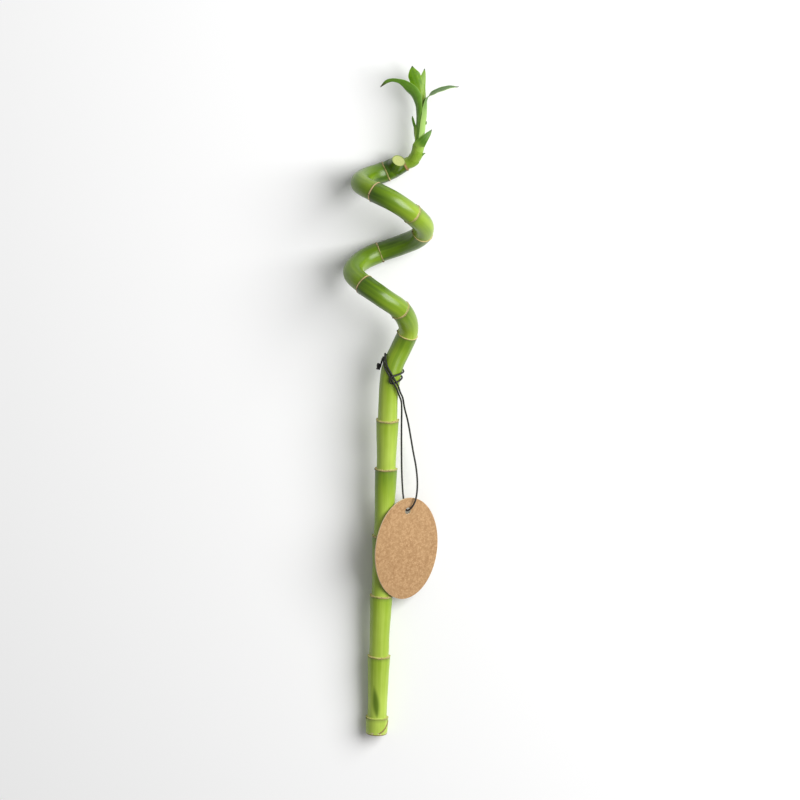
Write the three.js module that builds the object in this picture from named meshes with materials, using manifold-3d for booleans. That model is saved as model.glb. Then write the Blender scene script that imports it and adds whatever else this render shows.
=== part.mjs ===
// A curly lucky bamboo stalk with its card tag still tied on, lying on a flat surface.
//
// Millimetres, +Z up. The stalk runs along Y: its cut base is at -Y and its leafy shoot at +Y.
// X is to the right of someone who looks down on it with the shoot pointing away from them.
// The stalk lies on its base and on the two low turns of its spiral. The tag leans on the stalk,
// with its right edge down on the surface.

import * as THREE from "three";
import { mergeVertices } from "three/addons/utils/BufferGeometryUtils.js";
import Module from "manifold-3d";

const wasm = await Module();
wasm.setup();

// ---------------------------------------------------------------- driving dimensions

const FOOTPRINT_MIDDLE = [8.7, 2.7]; // of the whole stalk, in the places below

// The stalk's middle line, [x, y, height], from the cut base to the cut stub.
const CANE_LINE = [
  [-6.1, -201.3, 5.97],
  [-4.6, -152.8, 9.9],
  [-2.1, -86.7, 15.1],
  [-0.4, -39.4, 18.8],
  [0.8, 0.7, 21.6],
  [1.8, 15.5, 22.3],
  [3.8, 25.5, 21.8],
  [8.9, 36.6, 20.9],
  [13.1, 48.0, 24.6], // first bend to the right
  [8.4, 61.3, 35.6],
  [-2.7, 70.4, 41.2], // first high strand
  [-13.6, 77.2, 35.8],
  [-19.9, 82.3, 24.4], // first bend to the left
  [-15.2, 86.9, 11.6],
  [-5.0, 91.1, 5.9], // first low strand
  [8.6, 96.4, 8.6],
  [18.6, 102.2, 16.2],
  [22.3, 109.7, 25.8], // second bend to the right
  [17.4, 119.4, 36.4],
  [5.7, 127.4, 41.4], // second high strand
  [-6.4, 133.0, 38.0],
  [-15.2, 136.3, 27.2], // second bend to the left
  [-11.6, 138.0, 13.6],
  [-3.6, 139.3, 6.9],
  [2.4, 141.6, 5.85], // second low strand
  [6.4, 143.6, 5.5],
  [9.4, 145.0, 6.2],
];
const BASE_RADIUS = 5.4; // the cut rim at the base is a little worn
const END_RADIUS = 4.4; // the cane narrows at its last joint
const END_TAPER = 7; // the length over which it does
// Each length between two leaf scars is widest just under its upper scar, and narrows from there.
const SPIRAL_START = [200, 250]; // the pairs below change over between these lengths along the cane
const NARROW_RADII = [5.8, 6.0]; // in the straight part and in the spiral
const JOINT_FLARES = [0.95, 0.35];
const FLARE_SHARE = 0.8; // of the length between two scars
const FLARE_POWER = 1.3;
const SCAR_HEIGHT = 0.2; // the leaf scar's raised lip
const SCAR_WIDTH = 0.9;
const BELOW_BASE = -30; // where the scar under the base was, before the cane was cut
const SCARS = [10.5, 48.5, 86, 123, 164.5, 194.5, 249.5, 271.5, 300.5, 343.5, 378, 401.5, 429, 471.5];
const CANE_SIDES = 16;
const CANE_STEP = 4.2;

// What stands out of the cane's last joint: the stub that was cut off short, and the collar that
// the shoot grows from.
const STUB = { foot: [4.7, 142.6, 6.3], end: [7.2, 148.0, 13.0], radii: [5.8, 4.1] };
const COLLAR = { foot: [5.8, 142.8, 7.4], end: [11.3, 145.6, 9.0], radii: [5.2, 4.3] };
const COLLAR_CLEARANCE = 9; // the cane is cut square this far out round the collar's end

// The shoot's middle line and radius, [x, y, height, radius].
const SHOOT_LINE = [
  [11.7, 145.85, 9.1, 4.1],
  [14.9, 147.9, 9.9, 4.0],
  [17.3, 152.4, 11.5, 3.5],
  [18.5, 157.8, 12.6, 3.0],
  [19.5, 164.2, 13.8, 2.8],
  [20.4, 172.6, 15.0, 2.7],
  [20.7, 180.2, 16.1, 2.5],
  [20.7, 187.4, 16.9, 2.2],
];
const SHOOT_SIDES = 14;
const SHOOT_STEPS = 28;
const SHEATH_RIMS = [0.13, 0.24, 0.36, 0.5, 0.7]; // where one sheath ends on the next, as shares of the shoot
const SHEATH_STEP = 0.28;

// Small scale leaves on the shoot: rows of [x, y, height, width], root first.
const SCALE_LEAVES = [
  [[19.6, 156.6, 13.4, 3.0], [21.8, 159.2, 14.2, 4.2], [24.4, 163.0, 15.0, 3.4], [27.0, 167.2, 15.4, 0.8]],
  [[17.6, 161.0, 13.6, 2.0], [16.4, 166.0, 14.4, 2.4], [15.4, 174.4, 14.6, 0.8]],
  [[20.0, 151.2, 12.6, 2.0], [21.6, 152.0, 13.0, 1.8], [23.2, 153.2, 13.2, 0.8]],
  [[16.4, 145.6, 10.6, 2.4], [18.2, 146.4, 11.0, 1.9], [19.8, 147.4, 11.2, 0.8]],
  [[15.6, 152.6, 11.8, 2.0], [15.0, 155.6, 12.2, 1.7], [15.2, 158.4, 12.2, 0.8]],
  [[22.6, 168.6, 15.4, 1.8], [23.3, 171.0, 16.0, 1.5], [23.7, 173.2, 16.4, 0.8]],
];
const SCALE_CURL = 0.12;

// Leaf blades: rows of [x, y, height, width, curl], root first. Curl is one over the radius that the
// blade is rolled to across its width. The outer face turns from the first direction to the second.
const BLADE_THICKNESS = 0.64;
const BLADE_POINTS_ACROSS = 7;
const LEAF_LEFT = {
  rows: [
    [18.2, 175.0, 17.5, 3.6, 0.31],
    [18.2, 179.0, 18.1, 6.6, 0.31],
    [17.8, 184.0, 19.0, 7.8, 0.26],
    [16.6, 188.6, 20.4, 8.6, 0.18],
    [14.5, 192.6, 21.9, 8.4, 0.1],
    [11.2, 195.8, 23.2, 7.4, 0.08],
    [7.2, 197.9, 23.9, 6.0, 0.09],
    [3.6, 198.7, 23.6, 4.6, 0.11],
    [0.6, 198.1, 22.5, 3.6, 0.12],
    [-3.7, 193.9, 19.8, 0.9, 0.05],
  ],
  faces: [[-0.77, 0, 0.64], [-0.1, -0.6, 0.79]],
};
const LEAF_RIGHT = {
  rows: [
    [23.5, 175.6, 16.5, 2.6, 0.31],
    [23.7, 180.6, 17.2, 4.3, 0.31],
    [24.0, 185.4, 18.2, 4.8, 0.24],
    [25.8, 188.7, 19.4, 5.6, 0.12],
    [29.0, 190.8, 20.1, 6.6, 0.08],
    [32.7, 192.6, 20.5, 6.6, 0.06],
    [36.9, 194.0, 20.2, 5.4, 0.06],
    [40.2, 194.4, 19.3, 3.4, 0.06],
    [43.1, 194.1, 18.2, 0.9, 0.05],
  ],
  faces: [[0.94, 0, 0.34], [0.25, -0.95, -0.18]],
};
const LEAF_CENTRE = {
  rows: [
    [20.0, 188.2, 17.2, 3.0, 0.3],
    [19.2, 192.4, 17.1, 5.4, 0.16],
    [17.7, 196.7, 17.3, 7.4, 0.08],
    [16.5, 200.3, 17.8, 7.4, 0.07],
    [15.7, 204.0, 18.2, 4.6, 0.07],
    [15.3, 207.0, 18.4, 0.9, 0.05],
  ],
  faces: [[0, -0.2, 0.98], [0.05, -0.15, 0.98]],
};
const LEAF_INNER = {
  rows: [
    [21.2, 188.2, 15.5, 2.8, 0.3],
    [21.1, 192.6, 15.2, 4.6, 0.26],
    [21.5, 197.3, 14.9, 4.2, 0.24],
    [22.2, 201.4, 14.8, 2.3, 0.2],
    [22.7, 204.6, 14.8, 0.9, 0.05],
  ],
  faces: [[0.3, 0, 0.95], [0.3, 0, 0.95]],
};

// The card tag.
const TAG_LENGTH = 60.4;
const TAG_WIDTH = 46.4;
const TAG_THICKNESS = 0.8;
const TAG_HOLE_RADIUS = 2.0;
const TAG_HOLE_FROM_EDGE = 7.0; // the hole's middle to the tag's top edge
const TAG_MIDDLE = [11.7, -86.8, 14.4];
const TAG_TURN = -2.0; // degrees about the upright, as seen from above
const TAG_RISE = 4.4; // degrees that its top end is higher than its bottom end
const TAG_LEAN = 36.8; // degrees that its right side hangs down
const TAG_OUTLINE_POINTS = 56;

// The cord, from the knot and back to it. A place on the cane is [along, degrees, lift]: the length
// along the cane, the angle round it from the top towards +X, and the lift of the cord's middle
// over the cane's skin. A free place is {free: [x, y, height]}.
const CORD_RADIUS = 0.55;
const ON_CANE = 0.9; // the cord lies on the cane
const ON_CORD = 2.25; // the cord lies on a strand that is on the cane
const CORD_ROUTE = [
  [226.4, -119, 1.7],
  [229.2, -106, 1.3],
  [230.3, -86, ON_CANE],
  [228.6, -64, ON_CANE],
  [225.8, -39, ON_CANE],
  [222.8, -11, ON_CANE],
  [221.2, 1.5, ON_CANE],
  [219.9, 9, 1.35],
  [218.4, 17, 2.2],
  [216.8, 26, ON_CORD],
  [214.5, 38, 2.0],
  [211.4, 53, 1.7],
  [207.4, 75, 2.0],
  { free: [9.0, -1.0, 17.2] },
  { free: [8.9, -13, 13.8] },
  { free: [8.9, -29, 11.6] },
  { free: [9.2, -45, 11.2] },
  { free: [10.0, -56, 12.5] },
  { free: [10.9, -60.8, 13.9] }, // behind the tag
  { free: [11.5, -63.1, 14.8] },
  { free: [12.4, -63.8, 16.0] }, // in the tag's hole
  { free: [13.3, -63.1, 17.2] },
  { free: [14.2, -60.8, 17.7] }, // in front of the tag
  { free: [16.0, -56.0, 16.5] },
  { free: [17.6, -45.2, 13.2] },
  { free: [15.7, -27.4, 12.2] },
  { free: [12.8, -10, 14.8] },
  { free: [10.7, -0.6, 19.4] },
  [208.8, 84, 2.7],
  [212.6, 63, 1.8],
  [215.4, 48, 2.0],
  [217.5, 37, ON_CORD],
  [219.2, 28, 2.2],
  [220.7, 19, 1.4],
  [222.0, 11, ON_CANE],
  [224.0, -3, ON_CANE],
  [226.6, -26, ON_CANE],
  [229.2, -49, ON_CANE],
  [231.4, -73, ON_CANE],
  [232.2, -101, ON_CANE],
  [231.2, -140, ON_CANE],
  [229.2, -180, ON_CANE],
  [227.5, -220, ON_CANE],
  [226.6, -252, ON_CANE],
  [225.8, -278, ON_CANE],
  [224.8, -302, ON_CANE],
  [223.8, -322, ON_CANE],
  [223.1, -337, 1.4],
  [222.4, -350, 2.2],
  [221.4, -360, ON_CORD],
  [220.0, -363.5, 1.9],
  [218.8, -358.5, 1.25],
  [218.2, -348, ON_CANE],
  [218.5, -334, ON_CANE],
  [219.3, -318, ON_CANE],
  [220.3, -300, ON_CANE],
  [221.4, -276, ON_CANE],
  [222.2, -246, ON_CANE],
  [222.8, -214, ON_CANE],
  [223.4, -180, ON_CANE],
  [224.0, -150, ON_CANE],
  [224.5, -132, 1.5],
];
const CORD_SIDES = 8;
const CORD_STEPS_PER_PLACE = 2;
const KNOT_PLACE = [224.9, -102, 2.0];
const KNOT_RADIUS = 1.6;
const KNOT_STRETCH = 1.6; // along the cane

const COLOURS = {
  cane: 0x6fa22c,
  shoot: 0x8cbf3f,
  leaf: 0x4c8f2b,
  young: 0x86c232,
  card: 0xb98a5c,
  cord: 0x161616,
};

// ---------------------------------------------------------------- curves and frames

const vector = (place) => new THREE.Vector3(...place.slice(0, 3));
const curveThrough = (places) => new THREE.CatmullRomCurve3(places, false, "centripetal");
const clamp = THREE.MathUtils.clamp;

const caneCurve = curveThrough(CANE_LINE.map(vector));
caneCurve.arcLengthDivisions = 2000;
const CANE_LENGTH = caneCurve.getLength();
const onCaneLine = (along) => caneCurve.getPointAt(clamp(along / CANE_LENGTH, 0, 1));
const caneTangent = (along) => caneCurve.getTangentAt(clamp(along / CANE_LENGTH, 0, 1));

function caneRadius(along) {
  const inSpiral = THREE.MathUtils.smoothstep(along, ...SPIRAL_START);
  const narrow = THREE.MathUtils.lerp(...NARROW_RADII, inSpiral);
  const taper = Math.min(1, (CANE_LENGTH - along) / END_TAPER);
  let radius = THREE.MathUtils.lerp(END_RADIUS, narrow, Math.sin((taper * Math.PI) / 2));
  const upper = SCARS.findIndex((scar) => scar > along - SCAR_WIDTH / 2);
  if (upper >= 0) {
    const below = SCARS[upper] - along;
    const share = Math.max(0, below) / (SCARS[upper] - (SCARS[upper - 1] ?? BELOW_BASE));
    const flare = THREE.MathUtils.lerp(...JOINT_FLARES, inSpiral);
    radius += flare * (1 - Math.min(1, share / FLARE_SHARE)) ** FLARE_POWER;
    if (Math.abs(below) < SCAR_WIDTH / 2) radius += SCAR_HEIGHT;
  }
  const worn = Math.min(1, along / (2 * SCAR_WIDTH));
  return THREE.MathUtils.lerp(BASE_RADIUS, radius, worn);
}

// A place on or over the cane's skin, from the length along it, the angle round it and the lift.
function byCane([along, degrees, lift]) {
  const tangent = caneTangent(along);
  const up = new THREE.Vector3(0, 0, 1).addScaledVector(tangent, -tangent.z).normalize();
  const right = new THREE.Vector3().crossVectors(tangent, up);
  const turn = THREE.MathUtils.degToRad(degrees);
  const reach = caneRadius(along) + lift;
  return onCaneLine(along)
    .addScaledVector(up, reach * Math.cos(turn))
    .addScaledVector(right, reach * Math.sin(turn));
}

// A direction square to the path at every point, turning no more than the path makes it.
function steadyNormals(points) {
  const tangents = points.map((point, i) =>
    new THREE.Vector3()
      .subVectors(points[Math.min(i + 1, points.length - 1)], points[Math.max(i - 1, 0)])
      .normalize(),
  );
  let normal = new THREE.Vector3(0, 0, 1);
  return tangents.map((tangent) => {
    normal = normal.clone().addScaledVector(tangent, -normal.dot(tangent)).normalize();
    return { tangent, normal };
  });
}

// ---------------------------------------------------------------- skins

// A closed skin through rings of points. All rings have the same even number of points, in the order
// that turns right-handed about the path. The second half of each ring is split into triangles the
// other way, so that a thin blade is split alike on both faces.
function skin(rings) {
  const sides = rings[0].length;
  const half = sides / 2;
  const faces = [];
  for (let i = 0; i + 1 < rings.length; i++) {
    for (let k = 0; k < sides; k++) {
      const a = i * sides + k;
      const b = i * sides + ((k + 1) % sides);
      if (k < half) faces.push(a, b, b + sides, a, b + sides, a + sides);
      else faces.push(a, b, a + sides, b, b + sides, a + sides);
    }
  }
  const last = (rings.length - 1) * sides;
  for (let k = 0; k < half - 1; k++) {
    const [p, q, r, s] = [k, k + 1, sides - 2 - k, sides - 1 - k];
    faces.push(p, r, q, p, s, r);
    faces.push(last + p, last + q, last + r, last + p, last + r, last + s);
  }
  return geometryOf(rings.flat().flatMap((point) => point.toArray()), faces);
}

function geometryOf(coordinates, faces) {
  const geometry = new THREE.BufferGeometry();
  geometry.setAttribute("position", new THREE.Float32BufferAttribute(coordinates, 3));
  geometry.setIndex(faces);
  return geometry;
}

// A round skin along a path.
function tube(points, radii, sides) {
  const frames = steadyNormals(points);
  const rings = points.map((point, i) => {
    const { tangent, normal } = frames[i];
    const across = new THREE.Vector3().crossVectors(tangent, normal);
    return Array.from({ length: sides }, (_, k) => {
      const turn = (2 * Math.PI * (k + 0.5)) / sides;
      return point
        .clone()
        .addScaledVector(normal, radii[i] * Math.cos(turn))
        .addScaledVector(across, radii[i] * Math.sin(turn));
    });
  });
  return skin(rings);
}

// A thin blade along a path: rows of [x, y, height, width, curl], faces as above.
function blade({ rows, faces }, stepsPerRow) {
  const steps = (rows.length - 1) * stepsPerRow;
  const line = curveThrough(rows.map(vector));
  const shape = new THREE.CatmullRomCurve3(rows.map((row) => new THREE.Vector3(row[3], row[4] * 10, 0)));
  const [rootFace, tipFace] = faces.map(vector);
  const rings = [];
  for (let i = 0; i <= steps; i++) {
    const share = i / steps;
    const tangent = line.getTangent(share);
    const settled = THREE.MathUtils.smoothstep(share, 0.1, 0.5);
    const face = rootFace.clone().lerp(tipFace, settled);
    face.addScaledVector(tangent, -face.dot(tangent)).normalize();
    const across = new THREE.Vector3().crossVectors(tangent, face);
    const { x: width, y: tenCurls } = shape.getPoint(share);
    const curl = tenCurls / 10;
    const outer = [];
    const inner = [];
    for (let k = 0; k < BLADE_POINTS_ACROSS; k++) {
      const bend = curl * width * (k / (BLADE_POINTS_ACROSS - 1) - 0.5);
      const surface = line
        .getPoint(share)
        .addScaledVector(across, Math.sin(bend) / curl)
        .addScaledVector(face, (Math.cos(bend) - 1) / curl);
      const out = face.clone().multiplyScalar(Math.cos(bend)).addScaledVector(across, Math.sin(bend));
      outer.push(surface.clone().addScaledVector(out, BLADE_THICKNESS / 2));
      inner.unshift(surface.clone().addScaledVector(out, -BLADE_THICKNESS / 2));
    }
    rings.push([...outer, ...inner]);
  }
  return skin(rings);
}

// ---------------------------------------------------------------- joining and cutting

function solidOf(geometry) {
  return new wasm.Manifold(
    new wasm.Mesh({
      numProp: 3,
      vertProperties: new Float32Array(geometry.getAttribute("position").array),
      triVerts: new Uint32Array(geometry.getIndex().array),
    }),
  );
}

function skinOf(solid) {
  const mesh = solid.getMesh();
  return geometryOf(Array.from(mesh.vertProperties), Array.from(mesh.triVerts));
}

// A block to take away: it stands on a place and reaches from it in a direction.
function block(width, height, place, direction) {
  const box = new THREE.BoxGeometry(width, width, height).translate(0, 0, height / 2);
  const turn = new THREE.Quaternion().setFromUnitVectors(new THREE.Vector3(0, 0, 1), direction);
  box.applyQuaternion(turn).translate(...place);
  box.deleteAttribute("normal");
  box.deleteAttribute("uv");
  return solidOf(mergeVertices(box));
}

// ---------------------------------------------------------------- the pieces

function makeCane() {
  const lip = SCAR_WIDTH / 2;
  const around = [-lip - 0.1, 0.1 - lip, lip - 0.1, lip + 0.1];
  const stops = new Set([0, SCAR_WIDTH, CANE_LENGTH]);
  for (const scar of SCARS) around.forEach((shift) => stops.add(scar + shift));
  for (let along = CANE_STEP; along < CANE_LENGTH - 2; along += CANE_STEP) {
    const nearScar = SCARS.some((scar) => along > scar - CANE_STEP && along < scar + CANE_STEP / 2);
    if (!nearScar) stops.add(along);
  }
  const sorted = [...stops].filter((along) => along >= 0 && along <= CANE_LENGTH).sort((a, b) => a - b);
  const cane = tube(sorted.map(onCaneLine), sorted.map(caneRadius), CANE_SIDES);
  const outgrowths = [STUB, COLLAR].map(({ foot, end, radii }) =>
    solidOf(tube([foot, end].map(vector), radii, SHOOT_SIDES)),
  );
  const collarWay = vector(COLLAR.end).sub(vector(COLLAR.foot)).normalize();
  const pastCollar = block(2 * COLLAR_CLEARANCE, COLLAR_CLEARANCE, COLLAR.end, collarWay);
  const underSurface = block(2 * CANE_LENGTH, CANE_LENGTH, [0, 0, 0], new THREE.Vector3(0, 0, -1));
  let whole = solidOf(cane);
  for (const outgrowth of outgrowths) whole = whole.add(outgrowth);
  return skinOf(whole.subtract(pastCollar).subtract(underSurface));
}

function makeShoot() {
  const line = curveThrough(SHOOT_LINE.map(vector));
  const size = new THREE.CatmullRomCurve3(SHOOT_LINE.map((row) => new THREE.Vector3(row[3], 0, 0)));
  const points = line.getPoints(SHOOT_STEPS);
  const radii = size.getPoints(SHOOT_STEPS).map((point, i) => {
    const past = SHEATH_RIMS.filter((rim) => rim < i / SHOOT_STEPS);
    const next = SHEATH_RIMS[past.length] ?? 1;
    const since = (i / SHOOT_STEPS - (past.at(-1) ?? 0)) / (next - (past.at(-1) ?? 0));
    return point.x + SHEATH_STEP * (since - 0.5);
  });
  let shoot = solidOf(tube(points, radii, SHOOT_SIDES));
  for (const rows of SCALE_LEAVES) {
    const outward = vector(rows.at(-1)).sub(line.getPoint(0.45)).setY(0);
    outward.z += 2 * Math.abs(outward.x);
    const face = outward.normalize().toArray();
    const scaleLeaf = { rows: rows.map((row) => [...row, SCALE_CURL]), faces: [face, face] };
    shoot = shoot.add(solidOf(blade(scaleLeaf, 2)));
  }
  return skinOf(shoot);
}

function makeTag() {
  const outline = new THREE.Shape();
  outline.absellipse(0, 0, TAG_WIDTH / 2, TAG_LENGTH / 2, 0, 2 * Math.PI, false);
  const hole = new THREE.Path();
  hole.absarc(0, TAG_LENGTH / 2 - TAG_HOLE_FROM_EDGE, TAG_HOLE_RADIUS, 0, 2 * Math.PI, true);
  outline.holes.push(hole);
  const card = new THREE.ExtrudeGeometry(outline, {
    depth: TAG_THICKNESS,
    bevelEnabled: false,
    curveSegments: TAG_OUTLINE_POINTS,
  });
  return card.translate(0, 0, -TAG_THICKNESS / 2);
}

function makeCord() {
  const places = CORD_ROUTE.map((place) => (place.free ? vector(place.free) : byCane(place)));
  const points = curveThrough(places).getPoints((places.length - 1) * CORD_STEPS_PER_PLACE);
  return tube(points, points.map(() => CORD_RADIUS), CORD_SIDES);
}

function makeKnot() {
  return new THREE.SphereGeometry(KNOT_RADIUS, 12, 8).scale(1, KNOT_STRETCH, 1);
}

// ---------------------------------------------------------------- the assembly

function piece(name, geometry, color, roughness) {
  const mesh = new THREE.Mesh(geometry, new THREE.MeshStandardMaterial({ color, roughness, metalness: 0 }));
  mesh.name = name;
  return mesh;
}

const stalk = new THREE.Group();
stalk.position.set(-FOOTPRINT_MIDDLE[0], -FOOTPRINT_MIDDLE[1], 0);
stalk.add(
  piece("cane", makeCane(), COLOURS.cane, 0.35),
  piece("shoot", makeShoot(), COLOURS.shoot, 0.4),
  piece("leaf_left", blade(LEAF_LEFT, 2), COLOURS.leaf, 0.4),
  piece("leaf_right", blade(LEAF_RIGHT, 2), COLOURS.leaf, 0.4),
  piece("leaf_centre", blade(LEAF_CENTRE, 3), COLOURS.young, 0.4),
  piece("leaf_inner", blade(LEAF_INNER, 3), COLOURS.young, 0.4),
  piece("tag_cord", makeCord(), COLOURS.cord, 0.7),
);

const knot = piece("cord_knot", makeKnot(), COLOURS.cord, 0.7);
knot.position.copy(byCane(KNOT_PLACE));
stalk.add(knot);

const tag = piece("tag", makeTag(), COLOURS.card, 0.9);
tag.rotation.order = "ZXY";
tag.rotation.set(
  THREE.MathUtils.degToRad(TAG_RISE),
  THREE.MathUtils.degToRad(TAG_LEAN),
  THREE.MathUtils.degToRad(TAG_TURN),
);
tag.position.set(...TAG_MIDDLE);
stalk.add(tag);

export default stalk;
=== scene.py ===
# A curly lucky bamboo stalk with its card tag tied on, lying on a pale studio floor.
#
# Metres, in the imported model's frame: +Z up, the cut base at -Y, the leafy shoot at +Y.
# The cane is modelled straight, ring by ring, and then bent along the stalk's middle line.
# The shoot's stem and its sheaths are made the same way, and its leaves are laid row by row.

import math

import bpy
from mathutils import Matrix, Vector, noise


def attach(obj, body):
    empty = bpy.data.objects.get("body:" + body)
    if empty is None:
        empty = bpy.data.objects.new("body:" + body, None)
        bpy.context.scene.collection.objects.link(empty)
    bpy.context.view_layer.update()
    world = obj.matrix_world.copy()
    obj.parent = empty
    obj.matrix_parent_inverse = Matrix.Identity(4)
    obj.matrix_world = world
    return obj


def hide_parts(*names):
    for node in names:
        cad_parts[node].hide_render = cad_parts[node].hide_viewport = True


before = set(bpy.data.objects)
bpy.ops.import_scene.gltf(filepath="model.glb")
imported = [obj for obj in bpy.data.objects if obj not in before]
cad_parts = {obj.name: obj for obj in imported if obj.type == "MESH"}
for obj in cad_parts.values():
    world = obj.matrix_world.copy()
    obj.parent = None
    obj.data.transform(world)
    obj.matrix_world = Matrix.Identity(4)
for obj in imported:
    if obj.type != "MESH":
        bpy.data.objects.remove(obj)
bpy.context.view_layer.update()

# ---------------------------------------------------------------- driving dimensions

FOOTPRINT_MIDDLE = Vector((0.0087, 0.0027, 0.0))  # of the whole stalk, in the places below

# The stalk's middle line, from the cut base to the cut stub: x, y, height.
CANE_LINE = [
    (-0.0061, -0.2013, 0.00597),
    (-0.0046, -0.1528, 0.0099),
    (-0.0021, -0.0867, 0.0151),
    (-0.0004, -0.0394, 0.0188),
    (0.0008, 0.0007, 0.0216),
    (0.0018, 0.0155, 0.0223),
    (0.0038, 0.0255, 0.0218),
    (0.0089, 0.0366, 0.0209),
    (0.0131, 0.048, 0.0246),  # first bend to the right
    (0.0084, 0.0613, 0.0356),
    (-0.0027, 0.0704, 0.0412),  # first high strand
    (-0.0136, 0.0772, 0.0358),
    (-0.0199, 0.0823, 0.0244),  # first bend to the left
    (-0.0152, 0.0869, 0.0116),
    (-0.005, 0.0911, 0.0059),  # first low strand
    (0.0086, 0.0964, 0.0086),
    (0.0186, 0.1022, 0.0162),
    (0.0223, 0.1097, 0.0258),  # second bend to the right
    (0.0166, 0.1185, 0.0362),
    (0.0057, 0.1274, 0.0414),  # second high strand
    (-0.0064, 0.133, 0.038),
    (-0.0152, 0.1363, 0.0272),  # second bend to the left
    (-0.0116, 0.138, 0.0136),
    (-0.0036, 0.1393, 0.0069),
    (0.0024, 0.1416, 0.00585),  # second low strand
    (0.0064, 0.1436, 0.0055),
    (0.0094, 0.145, 0.0062),
]
BASE_RADIUS = 0.0054  # the cut rim at the base is a little worn
END_RADIUS = 0.0044  # the cane narrows at its last joint
END_TAPER = 0.007
# Each length between two leaf scars is widest just under its upper scar, and narrows down from there.
SPIRAL_START = (0.2, 0.25)  # the pairs below change over between these lengths along the cane
NARROW_RADII = (0.0058, 0.006)  # in the straight part and in the spiral
JOINT_FLARES = (0.00095, 0.00035)
FLARE_SHARE = 0.8  # of the length between two scars
FLARE_POWER = 1.3
SCAR_HEIGHT = 0.0002  # the leaf scar's raised lip
SCAR_WIDTH = 0.0009
BELOW_BASE = -0.03  # where the scar under the base was, before the cane was cut
SCARS = [
    0.0105, 0.0485, 0.086, 0.123, 0.1645, 0.1945, 0.2495,
    0.2715, 0.3005, 0.3435, 0.378, 0.4015, 0.429, 0.4715,
]
PAST_THE_END = 0.5  # stands for a scar over the last one
CANE_SIDES = 64
CANE_STEP = 0.0018  # from ring to ring, away from the scars
JUST_UNDER = 0.0001
JUST_PAST = 0.00001
CUT_PRECISION = 0.000001
MILLIMETRES = 1000  # to a metre: the cane's finish measures in millimetres
FAR_FROM_SCAR = 8.0  # millimetres, past which the finish takes no notice of a scar
# The cane's rings under and over each scar, and at its base.
RINGS_ROUND_A_SCAR = [
    -0.0065, -0.005, -0.0038, -0.0028, -0.002, -0.0014, -0.0009, -0.0006, -0.00045, -0.0003,
    -0.00015, 0.0, 0.00015, 0.0003, 0.00045, 0.0006, 0.0009, 0.0014, 0.0022, 0.0034,
]
RINGS_AT_BASE = {0.0, 0.0002, 0.0005, 0.0009, 0.0014, 0.002}
CLEAR_OF_SCAR = (-0.008, 0.005)  # no other rings from so far under a scar to so far over it
LIP_REACH = 0.0007  # how near a scar its lip is ragged
JOINT_REACH = 0.005  # how near a scar the rings are wavy
# What makes the cane uneven: the points that it moves, its size, detail and strength, and its way.
CANE_BUMPS = [
    ("lips", 0.0007, 1, 0.0004, "NORMAL"),
    ("joints", 0.006, 1, 0.001, "Z"),
    ("", 0.014, 2, 0.0005, "NORMAL"),
]
# How pale each length between two scars is, from 0 to 1: just over its lower scar, and just under
# its upper one. Partly the cane's own colour and partly painted shade: some lengths are set darker
# where shade fell on them.
LENGTH_TONES_AND_SHADE = [
    (1.0, 0.95), (0.92, 0.68), (0.83, 0.55), (0.8, 0.46), (0.86, 0.28), (0.86, 0.6), (0.85, 0.25),
    (0.75, 0.35), (0.55, 0.03), (0.36, 0.24), (0.03, 0.25), (0.6, 0.5), (0.6, 0.08), (0.42, 0.03),
    (0.25, 0.15),
]
TONE_POWERS = (2.2, 1.0)  # how suddenly it darkens, in the straight part and in the spiral
# A dark green streak on the cane near its base: from a length to another, at an angle, and how wide.
STREAK = (0.0105, 0.0325, -13, 0.0034)
FADED_BELOW = 0.016  # the first scar shows only at its sides, and fades out within FADED_RADIUS
FADED_RADIUS = 0.0055
# The dry torn strip over the base: lengths along the cane, angles round it, and widths.
TORN_STRIP = [
    (0.0088, 78, 0.0004), (0.0066, 66, 0.0009), (0.0042, 48, 0.0007), (0.0024, 28, 0.0009),
    (0.0012, 6, 0.0004),
]
TORN_FACE = (0.004, 45)  # where on the cane it faces outwards
TORN_LIFT = 0.00005
TORN_CURL = 60
TORN_RIPPLE = 0.0004
EDGE_ROUND = 0.0004  # of the cut rim at the base
TOP_JOINT = 0.4719  # the cane proper ends at its last leaf scar, and its cut end goes on

# Where a small dry bud sits on a leaf scar: the scar, and the angle round the cane.
JOINT_BUDS = [
    (0.0105, -70), (0.1645, -75), (0.1945, 105), (0.2495, 130), (0.2495, -90), (0.2715, -75),
    (0.3005, -100), (0.3435, 60), (0.378, -65), (0.4015, 125), (0.429, -20),
]
BUD_LENGTH = 0.0013
BUD_WIDTHS = (0.62, 0.42)  # shares of its length
BUD_POINT_FROM = 0.2 * BUD_LENGTH  # past its middle, from where it runs to a point
BUD_POINT = (0.45, 0.45, 1.25)  # how much slimmer and longer its point is made
BUD_UNDER_SCAR = 0.0002
BUD_SINK = 0.0001  # into the cane's skin
BUD_LEAN = 0.45  # outwards from the cane

# What stands out of the cane's last joint: the stub that was cut off short, and the shoot's collar.
STUB_FOOT = Vector((0.0047, 0.1426, 0.0063))
STUB_END = Vector((0.0072, 0.148, 0.013))
STUB_RADII = (0.0058, 0.0041)
STUB_CUT = Vector((0.3, 0.72, 0.62))  # the way that its cut face looks
STUB_PAST = 0.25  # the share of its length that is grown past the cut and cut off
COLLAR_FOOT = Vector((0.0058, 0.1428, 0.0074))
COLLAR_END = Vector((0.0113, 0.1456, 0.009))
COLLAR_RADII = (0.0052, 0.0043)
END_START = 0.468  # the last joint is grown from here, a little inside the cane's own skin
END_SINK = 0.0003  # how far its skin starts inside the cane's
END_STEP = 0.0005
END_SIDES = 48
END_GRAIN = 0.00025  # of the mesh that grows the three into one
END_SMOOTHING = 16
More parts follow.
